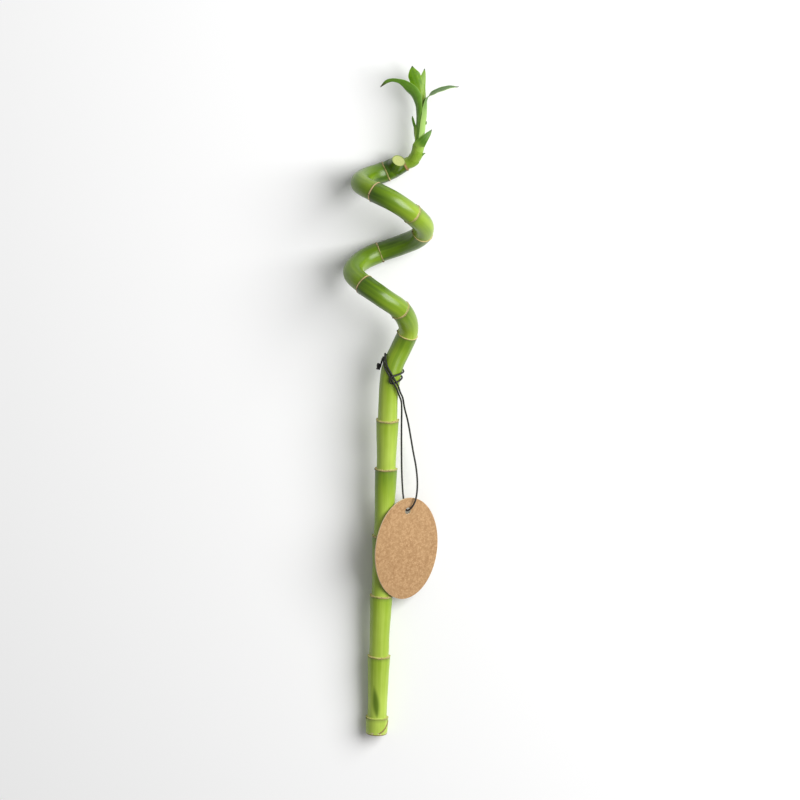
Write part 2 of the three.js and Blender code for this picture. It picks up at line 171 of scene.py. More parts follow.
# The dry ring where the shoot leaves its collar.
SHOOT_RING_MIDDLE = Vector((0.0114, 0.1455, 0.009))
SHOOT_RING_WAY = Vector((0.9, 0.36, 0.2))
SHOOT_RING_RADIUS = 0.004
SHOOT_RING_THICK = 0.0009
SHOOT_RING_CUT = 0.0012  # what is further over its middle is cut off
SHOOT_RING_FRAY = (0.001, 0.0005)  # the size of its bumps, and how strong they are
DRY_FOOT = 0.0034  # how far along the shoot its lowest sheath is dry

# The shoot's middle line and radius: x, y, height, radius.
SHOOT_LINE = [
    (0.0103, 0.1446, 0.0086, 0.0039),
    (0.0122, 0.1457, 0.0091, 0.0038),
    (0.01535, 0.1477, 0.0099, 0.0036),
    (0.0181, 0.1522, 0.0115, 0.003),
    (0.0192, 0.1578, 0.0126, 0.00275),
    (0.0198, 0.1642, 0.0138, 0.0027),
    (0.0204, 0.1726, 0.015, 0.0026),
    (0.0207, 0.1802, 0.0161, 0.0025),
    (0.0207, 0.1874, 0.0169, 0.0022),
]

# The stem and the sheaths round it.
STEM_SIDES = 32
STEM_STEPS = 60
SHEATH_SIDES = 40
SHEATH_STEPS = 24
SHEATH_SINK = 0.0005  # how far inside the stem's radius each sheath starts
SHEATH_WALL = 0.0002
NEAR_FOOT = 0.0005  # along the stem, where its way is taken for its foot
MOST_CORNERS = 6  # of a face in a tube's wall
VEINS_AT_RIM, VEINS_A_METRE, VEINS_APART = 0.45, 20, 90  # place a sheath in the leaves' pattern
# The shoot's sheaths, lowest first: from a length along the stem to another, with a rim cut
# slanting by so many degrees, up to the side where its scale leaf stands, and lifted off the stem
# at its rim. The scale leaf wraps the stem for a length, and its rows are x, y, height and width.
SHEATHS = [
    (0.001, 0.0065, 25, 0.0002, 0, [
        (0.0165, 0.1452, 0.012, 0.0022), (0.018, 0.146, 0.0117, 0.0016), (0.0194, 0.147, 0.0113, 0.0003),
    ]),
    (0.0035, 0.0115, 30, 0.0002, 0, [
        (0.0198, 0.1508, 0.0136, 0.0024), (0.0214, 0.1519, 0.0137, 0.0016), (0.0231, 0.1527, 0.0131, 0.0003),
    ]),
    (0.006, 0.014, 30, 0.0002, 0, [
        (0.0152, 0.1524, 0.0122, 0.0014), (0.0156, 0.1549, 0.0128, 0.0011), (0.0156, 0.157, 0.0129, 0.0003),
    ]),
    (0.009, 0.0165, 42, 0.0002, 0.0055, [
        (0.0195, 0.1578, 0.0166, 0.0074), (0.0213, 0.1603, 0.0172, 0.0058), (0.0233, 0.1627, 0.0172, 0.0042),
        (0.0252, 0.165, 0.0166, 0.0028), (0.0269, 0.1673, 0.0157, 0.0004),
    ]),
    (0.0135, 0.0235, 40, -0.0005, 0.003, [
        (0.0169, 0.1688, 0.0158, 0.0018), (0.0162, 0.1713, 0.0158, 0.0017),
        (0.0156, 0.1738, 0.0155, 0.0013), (0.0154, 0.1754, 0.0153, 0.0004),
    ]),
    (0.019, 0.0275, 30, -0.0005, 0, [
        (0.0228, 0.1698, 0.0156, 0.0014), (0.0235, 0.171, 0.0157, 0.001), (0.0238, 0.1723, 0.0157, 0.0003),
    ]),
]
SCALE_CURL = 160
SCALE_THICKNESS = 0.00025
SCALE_SPARE = 1.15  # how much wider a scale leaf is where it wraps the stem
SCALE_LIFTS = (-0.0003, 0.0003)  # how far off the stem it lies there, low down and near the rim
SCALE_UNDER_RIM = 0.0005
SCALE_RISE = Vector((0, 0, 1.5))  # turns its face upwards

# The cord, from the knot and back to it. A place on the cane is the length along the cane, the
# angle round it from the top towards +X in degrees, and the lift of the cord's middle over the
# cane's skin. A place on the way through the tag is x, y, height.
CORD_DIAMETER = 0.0011
ON_CANE = 0.0009
ON_CORD = 0.00225
CORD_FROM_KNOT = [
    (0.2264, -119, 0.0017), (0.2292, -106, 0.0013), (0.2303, -86, ON_CANE), (0.2286, -64, ON_CANE),
    (0.2258, -39, ON_CANE), (0.2228, -11, ON_CANE), (0.2212, 1.5, ON_CANE), (0.2199, 9, 0.00135),
    (0.2184, 17, 0.0022), (0.2168, 26, ON_CORD), (0.2145, 38, 0.002), (0.2114, 53, 0.0017),
    (0.2074, 75, 0.002),
]
CORD_THROUGH_TAG = [
    (0.009, -0.001, 0.0172),
    (0.0089, -0.013, 0.0138),
    (0.0089, -0.029, 0.0116),
    (0.0092, -0.045, 0.0112),
    (0.01, -0.056, 0.0125),
    (0.0109, -0.0608, 0.0139),  # behind the tag
    (0.0115, -0.0631, 0.0148),
    (0.0124, -0.0635, 0.016),  # in the tag's hole
    (0.0135, -0.0629, 0.0171),
    (0.0152, -0.0611, 0.0175),  # in front of the tag
    (0.0168, -0.0584, 0.0169),
    (0.0179, -0.0543, 0.0158),
    (0.0184, -0.0475, 0.014),
    (0.0177, -0.0385, 0.0127),
    (0.0157, -0.0274, 0.0122),
    (0.0128, -0.01, 0.0148),
    (0.0107, -0.0006, 0.0194),
]
CORD_TO_KNOT = [
    (0.2088, 84, 0.0027), (0.2126, 63, 0.0018), (0.2154, 48, 0.002), (0.2175, 37, ON_CORD),
    (0.2192, 28, 0.0022), (0.2207, 19, 0.0014), (0.222, 11, ON_CANE), (0.224, -3, ON_CANE),
    (0.2266, -26, ON_CANE), (0.2292, -49, ON_CANE), (0.2314, -73, ON_CANE), (0.2322, -101, ON_CANE),
    (0.2312, -140, ON_CANE), (0.2292, -180, ON_CANE), (0.2275, -220, ON_CANE),
    (0.2266, -252, ON_CANE), (0.2258, -278, ON_CANE), (0.2248, -302, ON_CANE),
    (0.2238, -322, ON_CANE), (0.2231, -337, 0.0014), (0.2224, -350, 0.0022),
    (0.2214, -360, ON_CORD), (0.22, -363.5, 0.0019), (0.2188, -358.5, 0.00125),
    (0.2182, -348, ON_CANE), (0.2185, -334, ON_CANE), (0.2193, -318, ON_CANE),
    (0.2203, -300, ON_CANE), (0.2214, -276, ON_CANE), (0.2222, -246, ON_CANE),
    (0.2228, -214, ON_CANE), (0.2234, -180, ON_CANE), (0.224, -150, ON_CANE),
    (0.2245, -132, 0.0015),
]
CORD_POINTS = 366
KNOT_PLACE = (0.2249, -102, 0.002)
KNOT_STRAND = 0.0011
KNOT_PLACES = 25
KNOT_TURN = 2.62  # radians to each side of the knot's middle
KNOT_REACHES = (0.0011, 0.0026, 0.0007)  # outwards, along the cane and sideways
KNOT_POINTS = 120

# The card tag. It leans on the cane with its right edge low, and rises along with the cane.
TAG_LENGTH = 0.0624
TAG_WIDTH = 0.0464
TAG_THICKNESS = 0.0008
TAG_HOLE_RADIUS = 0.002
TAG_HOLE_FROM_EDGE = 0.008
TAG_MIDDLE = Vector((0.0117, -0.0868, 0.0144))
TAG_TURN = math.radians(-2.0)
TAG_RISE = math.radians(4.4)
TAG_LEAN = math.radians(36.8)
TAG_SIDES = 128
TAG_HOLE_SIDES = 48
TAG_EDGE_ROUND = 0.00014

# Leaf blades: rows of x, y, height, width and curl, root first. Curl is one over the radius that
# the blade is rolled to across its width. A blade's faces are the ways that its outer face looks,
# first and last.
LEAF_THICKNESS = 0.0003
BLADE_STEPS = 6  # from row to row
SHAPE_SCALES = (1000, 100)  # bring a row's width and curl near one
WAY_SHARE = 0.002  # of the blade's length on each side of a place, for its way there
PATTERN_STEP = 0.37  # keeps the veins of two blades apart
RIPPLES = 9
VALLEY_WIDTH = 0.14  # of the fold along the blade's middle, as a share of half its width
VALLEY_DEPTH = 0.00012
LEAF_LEFT = [
    (0.0185, 0.175, 0.01715, 0.0072, 350),
    (0.0183, 0.179, 0.0178, 0.0074, 340),
    (0.0178, 0.184, 0.019, 0.0078, 270),
    (0.0166, 0.1886, 0.0204, 0.0082, 180),
    (0.0145, 0.1926, 0.0219, 0.0074, 110),
    (0.0112, 0.1958, 0.0232, 0.0058, 90),
    (0.0072, 0.1979, 0.0239, 0.0036, 100),
    (0.0036, 0.1985, 0.0236, 0.0028, 120),
    (0.0006, 0.1976, 0.0225, 0.0026, 140),
    (-0.0037, 0.1937, 0.0198, 0.0003, 50),
]
LEAF_LEFT_FACES = (Vector((-0.77, 0, 0.64)), Vector((-0.1, -0.6, 0.79)))
LEAF_RIGHT = [
    (0.02365, 0.1756, 0.01655, 0.0076, 305),
    (0.0238, 0.1806, 0.01725, 0.0066, 305),
    (0.024, 0.1854, 0.0182, 0.005, 240),
    (0.0258, 0.1885, 0.0194, 0.006, 120),
    (0.029, 0.1905, 0.0201, 0.0072, 80),
    (0.0327, 0.1921, 0.0205, 0.0072, 60),
    (0.0369, 0.1934, 0.0202, 0.006, 60),
    (0.0402, 0.1938, 0.0193, 0.004, 60),
    (0.0431, 0.1936, 0.0182, 0.0003, 50),
]
LEAF_RIGHT_FACES = (Vector((0.94, 0, 0.34)), Vector((0.25, -0.95, -0.18)))
LEAF_CENTRE = [
    (0.0206, 0.1835, 0.0176, 0.0036, 330),
    (0.02, 0.1882, 0.0174, 0.0046, 300),
    (0.0192, 0.1924, 0.0171, 0.0054, 160),
    (0.0177, 0.1967, 0.0173, 0.0074, 80),
    (0.0165, 0.2003, 0.0178, 0.0074, 70),
    (0.0157, 0.2033, 0.0182, 0.0046, 70),
    (0.0153, 0.2062, 0.0184, 0.0003, 50),
]
LEAF_CENTRE_FACES = (Vector((0, -0.2, 0.98)), Vector((0.05, -0.15, 0.98)))
LEAF_INNER = [
    (0.0212, 0.179, 0.0178, 0.0056, 330),
    (0.0214, 0.1845, 0.0175, 0.0056, 310),
    (0.0213, 0.1885, 0.0168, 0.0052, 290),
    (0.0212, 0.1926, 0.0159, 0.0046, 260),
    (0.0215, 0.197, 0.0151, 0.0042, 240),
    (0.0222, 0.201, 0.0148, 0.0023, 200),
    (0.0227, 0.204, 0.0148, 0.0003, 50),
]
LEAF_INNER_FACES = (Vector((0.3, 0, 0.95)), Vector((0.3, 0, 0.95)))
# The two long leaves start as sheaths round the stem, from a length along it to another. Each wraps
# a share of the way round, and lies so far off the stem at first and at last.
LONG_LEAF_SHEATH = (0.013, 0.029)
LEFT_WRAPS, LEFT_LIFTS = (0.46, 0.46, 0.44), (-0.0006, -0.0001)
RIGHT_WRAPS, RIGHT_LIFTS = (0.46, 0.46, 0.45), (-0.0003, 0.0002)

# The view: nearly straight down, tipped so that the far end is seen a little from below.
VIEW_TILT = math.radians(-10)
VIEW_MIDDLE = Vector((-0.0007, 0.0016, 0.02))
VIEW_HEIGHT = 0.478
LENS = 1000
SENSOR = 36
FAR_CLIP = 30
FLOOR_SIZE = 12
KEY_LIGHT_PLACE = Vector((1.05, 0.5, 1.15))
KEY_LIGHT_AIM = Vector((0, 0, 0.02))
KEY_LIGHT_SIZE = 1.35
KEY_LIGHT_POWER = 40
ROOM_LIGHT = 0.27

# ---------------------------------------------------------------- lines through places

STEPS_A_PLACE = 40
WAY_REACH = 0.0002


def through(places, share):
    """A place on the centripetal curve through the places, at a share of the way along them."""
    last = len(places) - 1
    at = min(max(share, 0.0), 1.0) * last
    start = min(int(at), last - 1)
    part = at - start
    near, far = places[start], places[start + 1]
    before = places[start - 1] if start > 0 else near * 2 - far
    after = places[start + 2] if start + 2 <= last else far * 2 - near
    gap = math.sqrt((far - near).length) or 1.0
    gap_before = math.sqrt((near - before).length) or gap
    gap_after = math.sqrt((after - far).length) or gap
    leave = (near - before) / gap_before - (far - before) / (gap_before + gap) + (far - near) / gap
    arrive = (far - near) / gap - (after - near) / (gap + gap_after) + (after - far) / gap_after
    leave, arrive = leave * gap, arrive * gap
    square = near * -3 + far * 3 - leave * 2 - arrive
    cube = near * 2 - far * 2 + leave + arrive
    return near + leave * part + square * part**2 + cube * part**3


def measured(places):
    """Close points of the curve through the places, each with its length along the curve."""
    count = (len(places) - 1) * STEPS_A_PLACE
    points = [through(places, i / count) for i in range(count + 1)]
    lengths = [0.0]
    for i in range(count):
        lengths.append(lengths[-1] + (points[i + 1] - points[i]).length)
    return points, lengths


def point_at(line, along):
    points, lengths = line
    low, high = 0, len(lengths) - 1
    while high - low > 1:
        middle = (low + high) // 2
        if lengths[middle] <= along:
            low = middle
        else:
            high = middle
    part = (along - lengths[low]) / (lengths[high] - lengths[low])
    return points[low].lerp(points[high], min(max(part, 0.0), 1.0))


def points_from(line, along):
    return [point for point, length in zip(*line) if length >= along]


def way_at(line, along):
    return (point_at(line, along + WAY_REACH) - point_at(line, along - WAY_REACH)).normalized()


def placed(rows):
    return [Vector(row[:3]) - FOOTPRINT_MIDDLE for row in rows]


cane_line = measured(placed(CANE_LINE))
CANE_LENGTH = cane_line[1][-1]


def between(pair, share):
    return pair[0] + (pair[1] - pair[0]) * share


def eased(value, start, end):
    """How far a value is from a start to an end, from 0 to 1, with a soft start and end."""
    share = min(1.0, max(0.0, (value - start) / (end - start)))
    return share * share * (3 - 2 * share)


def scars_round(along):
    """The scars above and below a place on the cane, or none above its last one."""
    below = max([scar for scar in SCARS if scar <= along - SCAR_WIDTH / 2], default=BELOW_BASE)
    above = min([scar for scar in SCARS if scar > along - SCAR_WIDTH / 2], default=None)
    return above, below


def cane_radius(along, lip=SCAR_HEIGHT):
    """The cane's radius, as the solid has it."""
    in_spiral = eased(along, *SPIRAL_START)
    taper = min(1.0, max(0.0, CANE_LENGTH - along) / END_TAPER)
    radius = between((END_RADIUS, between(NARROW_RADII, in_spiral)), math.sin(taper * math.pi / 2))
    upper, lower = scars_round(along)
    if upper is not None:
        down = max(0.0, upper - along) / (upper - lower)
        radius += between(JOINT_FLARES, in_spiral) * (1 - min(1.0, down / FLARE_SHARE)) ** FLARE_POWER
        if abs(upper - along) < SCAR_WIDTH / 2:
            radius += lip
    worn = min(1.0, along / (2 * SCAR_WIDTH))
    return between((BASE_RADIUS, radius), worn)


def by_cane(along, degrees, lift):
    """A place on or over the cane's skin."""
    way = way_at(cane_line, along)
    up = (Vector((0, 0, 1)) - way * way.z).normalized()
    right = way.cross(up)
    turn = math.radians(degrees)
    reach = cane_radius(along) + lift
    return point_at(cane_line, along) + up * (reach * math.cos(turn)) + right * (reach * math.sin(turn))


# ---------------------------------------------------------------- working with Blender's own tools


def nothing_selected():
    if bpy.context.object and bpy.context.object.mode != "OBJECT":
        bpy.ops.object.mode_set(mode="OBJECT")
    bpy.ops.object.select_all(action="DESELECT")


def only(piece):
    nothing_selected()
    piece.select_set(True)
    bpy.context.view_layer.objects.active = piece


def named(name):
    piece = bpy.context.object
    piece.name = name
    piece.data.name = name
    return piece


def joined(pieces, name):
    nothing_selected()
    for piece in pieces:
        piece.select_set(True)
    bpy.context.view_layer.objects.active = pieces[0]
    bpy.ops.object.join()
    return named(name)


def dress(piece, *finishes):
    for finish in finishes:
        piece.data.materials.append(finish)


def apply_modifier(piece, kind, **settings):
    only(piece)
    modifier = piece.modifiers.new("shape", kind)
    for key, value in settings.items():
        setattr(modifier, key, value)
    bpy.ops.object.modifier_apply(modifier=modifier.name)


def edit(piece):
    """Opens the piece in edit mode, selected all over."""
    only(piece)
    bpy.ops.object.mode_set(mode="EDIT")
    bpy.ops.mesh.select_all(action="SELECT")


def done_editing():
    bpy.ops.object.mode_set(mode="OBJECT")


def cut_off(place, way, fill=True):
    """Cuts off what the piece in edit mode has past a plane."""
    bpy.ops.mesh.bisect(
        plane_co=place, plane_no=way, clear_outer=True, use_fill=fill, threshold=CUT_PRECISION
    )


def smooth(piece, degrees):
    only(piece)
    bpy.ops.object.shade_smooth_by_angle(angle=math.radians(degrees))


def outward(piece):
    edit(piece)
    bpy.ops.mesh.normals_make_consistent(inside=False)
    done_editing()


def settle(piece):
    """The piece's place goes into its mesh, and its object stays at the origin."""
    only(piece)
    bpy.ops.object.transform_apply(location=True, rotation=True, scale=True)


def remember(piece, name, values, kind="FLOAT"):
    """Keeps a value for each point of the mesh, for the finish to read."""
    notes = piece.data.attributes.new(name, kind, "POINT")
    key = "vector" if kind == "FLOAT_VECTOR" else "value"
    for point, value in zip(notes.data, values):
        setattr(point, key, value)


def make_uneven(piece, size, strength, detail=2, group="", direction="NORMAL"):
    """Moves the piece's points by clouds of a size."""
    clouds = bpy.data.textures.new("clouds", "CLOUDS")
    clouds.noise_scale = size
    clouds.noise_depth = detail
    apply_modifier(
        piece, "DISPLACE", texture=clouds, vertex_group=group, strength=strength,
        direction=direction, mid_level=0.5, texture_coords="LOCAL",
    )


def straight_curve(name, points):
    """A curve object with straight steps from point to point."""
    curve = bpy.data.curves.new(name, "CURVE")
    curve.dimensions = "3D"
    spline = curve.splines.new("POLY")
    spline.points.add(len(points) - 1)
    for knot, point in zip(spline.points, points):
        knot.co = (*point, 1.0)
    line = bpy.data.objects.new(name, curve)
    bpy.context.scene.collection.objects.link(line)
    return line


def bend_along(piece, points):
    """Bends a piece that was modelled straight up +Z along a line."""
    guide = straight_curve("guide", points)
    guide.data.twist_mode = "MINIMUM"
    bpy.context.view_layer.update()
    apply_modifier(piece, "CURVE", object=guide, deform_axis="POS_Z")
    bpy.data.curves.remove(guide.data)


def straight_stem(name, stops, radius_of, sides):
    """A closed stem up +Z: a circle, extruded and sized ring by ring."""
    nothing_selected()
    bpy.ops.mesh.primitive_circle_add(vertices=sides, radius=radius_of(stops[0]), fill_type="NGON")
    stem = named(name)
    edit(stem)
    for low, high in zip(stops, stops[1:]):
        size = radius_of(high) / radius_of(low)
        bpy.ops.mesh.extrude_region_move(TRANSFORM_OT_translate={"value": (0, 0, high - low)})
        bpy.ops.transform.resize(value=(size, size, 1), center_override=(0, 0, high))
    done_editing()
    outward(stem)
    return stem


# ---------------------------------------------------------------- finishes


# A node's output knows the tree it is in, so a step takes its tree from what it works on.
def put_node(tree, kind, inputs=None, **settings):
    node = tree.nodes.new("ShaderNode" + kind)
    for key, value in settings.items():
        setattr(node, key, value)
    for key, value in (inputs or {}).items():
        socket = node.inputs[key]
        if isinstance(value, bpy.types.NodeSocket):
            tree.links.new(value, socket)
        else:
            socket.default_value = value
    return node


def new_finish(name, roughness, specular=0.5):
    finish = bpy.data.materials.new(name)
    finish.use_nodes = True
    shader = finish.node_tree.nodes["Principled BSDF"]
    shader.inputs["Roughness"].default_value = roughness
    shader.inputs["Specular IOR Level"].default_value = specular
    return finish, finish.node_tree, shader


def kept(tree, name, output="Fac"):
    return put_node(tree, "Attribute", attribute_name=name).outputs[output]


def on_object(tree):
    return put_node(tree, "TexCoord").outputs["Object"]


def grain(place, size, stretch=(1, 1, 1), detail=3.0, roughness=0.5):
    """Noise whose features are about size across, stretched along each axis."""
    tree = place.id_data
    scaled = put_node(tree, "Mapping", {"Vector": place, "Scale": stretch}).outputs["Vector"]
    inputs = {"Vector": scaled, "Scale": 1.0 / size, "Detail": detail, "Roughness": roughness}
    return put_node(tree, "TexNoise", inputs).outputs["Fac"]


def ranged(value, low, high, to_low=0.0, to_high=1.0):
    inputs = {"Value": value, "From Min": low, "From Max": high, "To Min": to_low, "To Max": to_high}
    node = put_node(value.id_data, "MapRange", inputs, interpolation_type="SMOOTHSTEP")
    return node.outputs["Result"]


def reckon(what, first, second=0.0):
    node = put_node(first.id_data, "Math", {0: first, 1: second}, operation=what)
    return node.outputs["Value"]


def centred(value, amount):
    """A noise value turned into plus or minus half the amount."""
    return reckon("MULTIPLY", reckon("SUBTRACT", value, 0.5), amount)


def blend(share, first, second):
    tree = share.id_data
    node = put_node(tree, "Mix", data_type="RGBA")
    for index, value in ((0, share), (6, first), (7, second)):
        socket = node.inputs[index]
        if isinstance(value, bpy.types.NodeSocket):
            tree.links.new(value, socket)
        else:
            socket.default_value = (*value, 1.0) if index else value
    return node.outputs[2]


def ramp(value, stops):
    node = put_node(value.id_data, "ValToRGB", {"Fac": value})
    line = node.color_ramp
    line.elements[0].position, line.elements[0].color = stops[0][0], (*stops[0][1], 1)
    line.elements[1].position, line.elements[1].color = stops[-1][0], (*stops[-1][1], 1)
    for place, colour in stops[1:-1]:
        line.elements.new(place).color = (*colour, 1)
    return node.outputs["Color"]


def paint(shader, colour):
    shader.id_data.links.new(colour, shader.inputs["Base Color"])


def bumped(shader, height, depth, under=None):
    inputs = {"Height": height, "Distance": depth, "Strength": 1.0}
    if under:
        inputs["Normal"] = under
    tree = shader.id_data
    normal = put_node(tree, "Bump", inputs).outputs["Normal"]
    tree.links.new(normal, shader.inputs["Normal"])
    return normal


DARK_CANE = (0.035, 0.085, 0.002)
MID_CANE = (0.13, 0.235, 0.006)
BRIGHT_CANE = (0.27, 0.4, 0.022)
PALE_CANE = (0.42, 0.56, 0.075)
SCAR_TAN = (0.56, 0.41, 0.2)
SCAR_BROWN = (0.1, 0.045, 0.015)
# painted shade: the darker green just under a scar's lip
SHADE_UNDER_SCAR = (0.09, 0.13, 0.03)
STREAK_GREEN = (0.09, 0.165, 0.002)
TORN_PALE = (0.6, 0.5, 0.3)
RIM_BROWN = (0.16, 0.09, 0.035)
# The face, the fibres' ends and the rim of a cut.
BASE_CUT_COLOURS = ((0.42, 0.42, 0.2), (0.55, 0.5, 0.28), (0.2, 0.14, 0.06))
STUB_CUT_COLOURS = ((0.4, 0.45, 0.14), (0.46, 0.5, 0.18), (0.2, 0.27, 0.06))
DRY_RING = (0.32, 0.18, 0.065)
DRY_BUD = (0.12, 0.07, 0.03)
DRY_LEAF = (0.3, 0.2, 0.08)
DRY_SHEATH = ((0.3, 0.17, 0.055), (0.5, 0.36, 0.17))
YOUNG_STEM = (0.3, 0.45, 0.05)
# Each leaf's green, its veins, its dry tip and its pale root, and how strongly the root is pale.
# The pale green is also painted along each blade's edges as a highlight.
LEAF_COLOURS = {
    "young_sheath": ((0.25, 0.4, 0.03), (0.17, 0.31, 0.01), (0.04, 0.08, 0.015), (0.38, 0.52, 0.09), 0.6),
    "scale_leaf": ((0.09, 0.22, 0.01), (0.05, 0.14, 0.005), (0.03, 0.05, 0.012), (0.3, 0.47, 0.06), 0.9),
    "dark_leaf": ((0.13, 0.29, 0.025), (0.08, 0.2, 0.008), (0.06, 0.05, 0.02), (0.27, 0.44, 0.09), 0.1),
    "light_leaf": ((0.11, 0.25, 0.04), (0.07, 0.18, 0.02), (0.05, 0.05, 0.02), (0.36, 0.55, 0.14), 0.85),
    "young_leaf": ((0.15, 0.31, 0.005), (0.06, 0.17, 0.002), (0.03, 0.06, 0.01), (0.34, 0.52, 0.04), 0.5),
    "pale_leaf": ((0.2, 0.34, 0.03), (0.12, 0.26, 0.012), (0.03, 0.06, 0.012), (0.4, 0.58, 0.12), 0.9),
}
# The card between its darkest and palest fibres, then its clouds, its lines and its flecks.
CARD_FIBRES = ((0.34, 0.197, 0.09), (0.49, 0.305, 0.155))
CARD_CLOUDS = (0.47, 0.3, 0.15)
CARD_LINES = (0.3, 0.165, 0.07)
CARD_DARK_FLECKS = (0.3, 0.16, 0.065)
CARD_PALE_FLECKS = (0.62, 0.44, 0.26)
CARD_EDGE = ((0.66, 0.48, 0.3), (0.78, 0.62, 0.43))
CORD_BLACK = ((0.006, 0.006, 0.006), (0.035, 0.033, 0.03))
FLOOR_GREY = (0.9, 0.9, 0.9, 1)


def cane_finish():
    finish, tree, shader = new_finish("living_cane", 0.3)
    straight = kept(tree, "straight", "Vector")
    blotches = grain(straight, 0.011, (1, 1, 0.5), 2)
    streaks = grain(straight, 0.0012, (1, 1, 0.03), 3, 0.6)
    fine = grain(straight, 0.00035, (1, 1, 0.05), 2, 0.6)
    bands = grain(straight, 0.0045, (1, 1, 0.03), 2)
    # each length's tone: partly the cane's own colour, partly painted shade
    shade = kept(tree, "tone")
    for uneven, amount in ((blotches, 0.45), (bands, 0.7), (streaks, 0.2)):
        shade = reckon("ADD", shade, centred(uneven, amount))
    greens = [(0.0, DARK_CANE), (0.3, MID_CANE), (0.68, BRIGHT_CANE), (1.0, PALE_CANE)]
    colour = ramp(shade, greens)
    above, below = kept(tree, "above_scar"), kept(tree, "below_scar")
    # A scar is a thin pale lip with a dark line under it and dark bits of the old leaf left on it.
    ragged = centred(grain(straight, 0.0011, (1, 1, 1), 3, 0.6), 0.5)
    near = reckon("ADD", reckon("MINIMUM", above, below), ragged)
    lip = ranged(near, 0.32, 0.5, 1.0, 0.0)
    off_line = reckon("ABSOLUTE", reckon("SUBTRACT", below, 0.5))
    line = ranged(off_line, 0.1, 0.26, 0.75, 0.0)
    bits = ranged(grain(straight, 0.0012, (1, 1, 1), 2), 0.58, 0.7, 0.0, 0.8)
    scar = blend(bits, SCAR_TAN, SCAR_BROWN)
    # Painted shade: the green is darkened just under each scar's lip.
    colour = blend(ranged(below, 0.4, 3.0, 0.35, 0.0), colour, SHADE_UNDER_SCAR)
    faint = ranged(grain(straight, 0.005, (1, 1, 0.3), 1), 0.4, 0.54, 0.6, 1.0)
    faint = reckon("SUBTRACT", faint, reckon("MULTIPLY", kept(tree, "faded"), 0.8))
    faint = reckon("MAXIMUM", faint, 0.0)
    colour = blend(reckon("MULTIPLY", line, faint), colour, SCAR_BROWN)
    colour = blend(reckon("MULTIPLY", lip, faint), colour, scar)
    streak = reckon("ADD", kept(tree, "streak"), centred(streaks, 0.35))
    colour = blend(ranged(streak, 0.0, 0.85, 0.0, 0.95), colour, STREAK_GREEN)
    # The cut rim at the base is dry: brown at its edge, with pale torn bits over it.
    rim = reckon("ADD", kept(tree, "from_base"), ragged)
    torn = ranged(grain(straight, 0.0016, (1, 1, 1), 3, 0.6), 0.5, 0.6)
    torn = reckon("MULTIPLY", ranged(rim, 1.3, 2.4, 1.0, 0.0), torn)
    colour = blend(torn, colour, TORN_PALE)
    colour = blend(ranged(rim, 0.5, 0.85, 0.9, 0.0), colour, RIM_BROWN)
    paint(shader, colour)
    # The straight part is the oldest, and its skin is duller.
    height = put_node(tree, "SeparateXYZ", {"Vector": straight}).outputs["Z"]
    dull = ranged(height, *SPIRAL_START, 0.4, 0.29)
    tree.links.new(ranged(lip, 0, 1, dull, 0.75), shader.inputs["Roughness"])
    soft = bumped(shader, streaks, 0.0001)
    bumped(shader, fine, 0.00003, soft)
    return finish


def cut_finish(name, middle, radius, face, fibre, rim):
    """A cut face: pale, with the ends of the fibres, and a darker rind."""
    finish, tree, shader = new_finish(name, 0.55)
    place = on_object(tree)
    fibres = grain(place, 0.0005, (1, 1, 1), 2)
    colour = blend(ranged(fibres, 0.35, 0.65), face, fibre)
    distance = put_node(tree, "VectorMath", {0: place, 1: middle}, operation="DISTANCE")
    from_middle = distance.outputs["Value"]
    paint(shader, blend(ranged(from_middle, radius * 0.8, radius), colour, rim))
    bumped(shader, fibres, 0.00004)
    return finish


def plain_finish(name, colour, roughness):
    finish, tree, shader = new_finish(name, roughness)
    tone = grain(on_object(tree), 0.002)
    darker = tuple(part * 0.7 for part in colour)
    paint(shader, blend(tone, colour, darker))
    return finish


def leaf_finish(name):
    """A leaf's finish: fine veins along it, a paler root, a painted highlight along its edges, and a dry tip.
    """
    base, vein, tip, pale, root = LEAF_COLOURS[name]
    finish, tree, shader = new_finish(name, 0.42, 0.4)
    blade = kept(tree, "blade", "Vector")
    apart = put_node(tree, "SeparateXYZ", {"Vector": blade})
    across, along = apart.outputs["X"], apart.outputs["Y"]
    veins = grain(blade, 0.09, (1, 0.05, 1), 3, 0.6)
    patches = grain(blade, 0.5, (1, 0.5, 1), 2)
    green = blend(ranged(veins, 0.3, 0.72, 0.0, 0.7), base, vein)
    green = blend(ranged(patches, 0.45, 0.75, 0.0, 0.4), green, pale)
    mottle = grain(on_object(tree), 0.0034, (1, 1, 0.6), 2)
    green = blend(ranged(mottle, 0.48, 0.68, 0.0, 0.55), green, vein)
    off_middle = reckon("ABSOLUTE", across)
    green = blend(ranged(off_middle, 0.02, 0.09, 0.6, 0.0), green, vein)
    # painted highlight: the blade is made paler along its edges
    green = blend(ranged(off_middle, 0.86, 1.0, 0.0, 0.5), green, pale)
    green = blend(ranged(along, 0.2, 0.5, root, 0.0), green, pale)
    # The lowest sheath has a dry, frayed foot.
    dry_foot = kept(tree, "dry_foot")
    frayed = centred(grain(on_object(tree), 0.0012, (1, 1, 1), 3, 0.6), 0.6)
    foot = ranged(reckon("ADD", dry_foot, frayed), 0.15, 0.4, 0.0, 0.9)
    foot = reckon("MULTIPLY", foot, reckon("GREATER_THAN", dry_foot, 0.001))
    green = blend(foot, green, blend(ranged(frayed, -0.1, 0.1), *DRY_SHEATH))
    dry = ranged(reckon("ADD", along, centred(patches, 0.12)), 0.91, 0.98)
    paint(shader, blend(dry, green, tip))
    bumped(shader, veins, 0.00006)
    return finish


